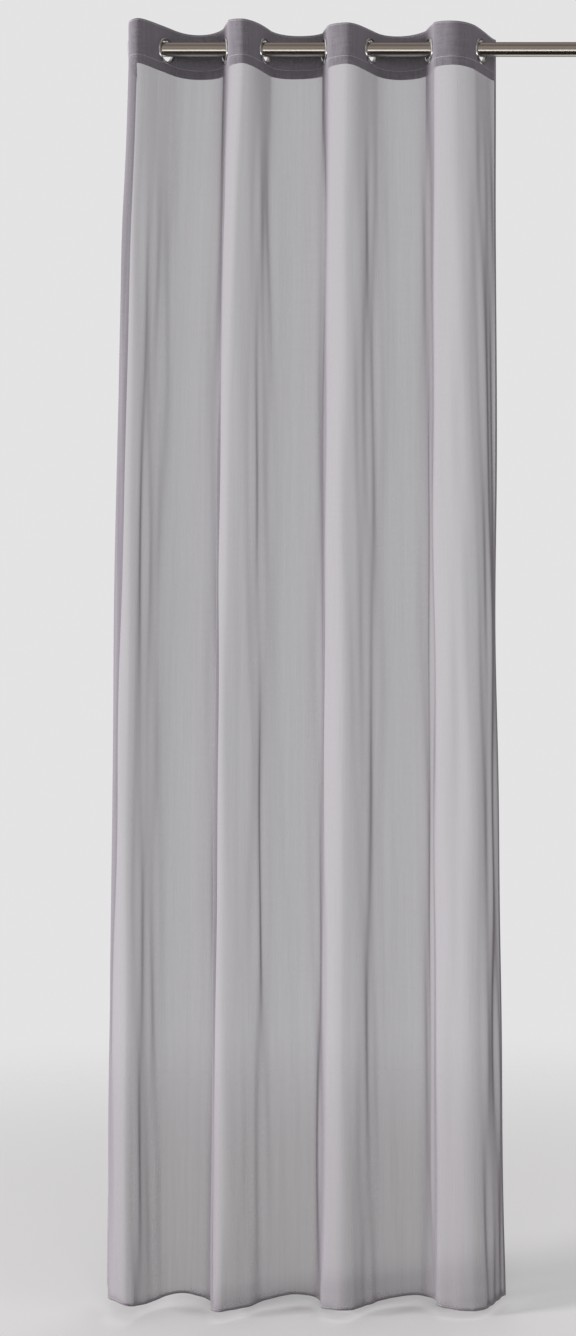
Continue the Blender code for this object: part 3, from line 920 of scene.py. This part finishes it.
LEFT_SIDE = (1.15, 1.14, 1.12)
RIGHT_SIDE = (0.10, 0.10, 0.10)

world = bpy.data.worlds.new("studio")
bpy.context.scene.world = world
world.use_nodes = True
sky = Value(world.node_tree)
background = world.node_tree.nodes["Background"]
seen = sky.node("ShaderNodeLightPath", {}, {}, output="Is Camera Ray")
reflected = sky.node("ShaderNodeLightPath", {}, {}, output="Is Glossy Ray")
direction = sky.node("ShaderNodeTexCoord", {}, {}, output="Generated")
forward = sky.node("ShaderNodeSeparateXYZ", {}, {"Vector": direction}, output="Y")
upward = sky.node("ShaderNodeSeparateXYZ", {}, {"Vector": direction}, output="Z")
turn = sky.math("ARCTAN2", upward, -1.0 * forward) / math.tau + 0.5
stops = [(0.5 + degrees / 360, colour) for degrees, colour in MIRRORED]
mirrored = sky.node("ShaderNodeValToRGB", {"stops": stops}, {"Fac": turn}, output="Color")
aside = sky.node("ShaderNodeSeparateXYZ", {}, {"Vector": direction}, output="X")
rightward, leftward = aside.at_least(0.0), (-1.0 * aside).at_least(0.0)
right_sided = (rightward * rightward).between(mirrored, RIGHT_SIDE)
both_sided = (leftward * leftward).between(right_sided, LEFT_SIDE)
lit = reflected.between(AMBIENT, both_sided)
shown = seen.between(lit, SURROUND)
world.node_tree.links.new(shown.socket, background.inputs["Color"])

LIGHTS = (
    # name      place                 aimed at            size  watts
    ("key", (-11.1, -4.7, -0.6), (-0.1, 0.0, -1.1), 3.0, 2420.0),
    ("fill", (2.8, -2.4, 0.2), (-0.1, 0.0, -1.2), 2.2, 14.0),
    ("front", (0.3, -4.8, -0.2), (-0.1, 0.0, -0.9), 2.0, 68.0),
    ("back", (0.6, 2.6, 0.6), (-0.1, 0.0, -1.2), 2.4, 26.0),
)
for name, place, aim, size, watts in LIGHTS:
    lamp = bpy.data.lights.new(name, "AREA")
    lamp.size = size
    lamp.energy = watts
    light = bpy.data.objects.new(name, lamp)
    light.location = place
    light.rotation_euler = (Vector(aim) - Vector(place)).to_track_quat("-Z", "Y").to_euler()
    light.visible_glossy = False
    bpy.context.scene.collection.objects.link(light)

CAMERA_PLACE = (0.10, -4.27, -1.2123)
CAMERA_LENS = 58.7
CAMERA_SHIFT = -0.0984

camera_data = bpy.data.cameras.new("camera")
camera_data.lens = CAMERA_LENS
camera_data.shift_x = CAMERA_SHIFT
camera = bpy.data.objects.new("camera", camera_data)
camera.location = CAMERA_PLACE
camera.rotation_euler = (math.pi / 2, 0, 0)
bpy.context.scene.collection.objects.link(camera)
bpy.context.scene.camera = camera
bpy.context.scene.view_settings.view_transform = "Standard"
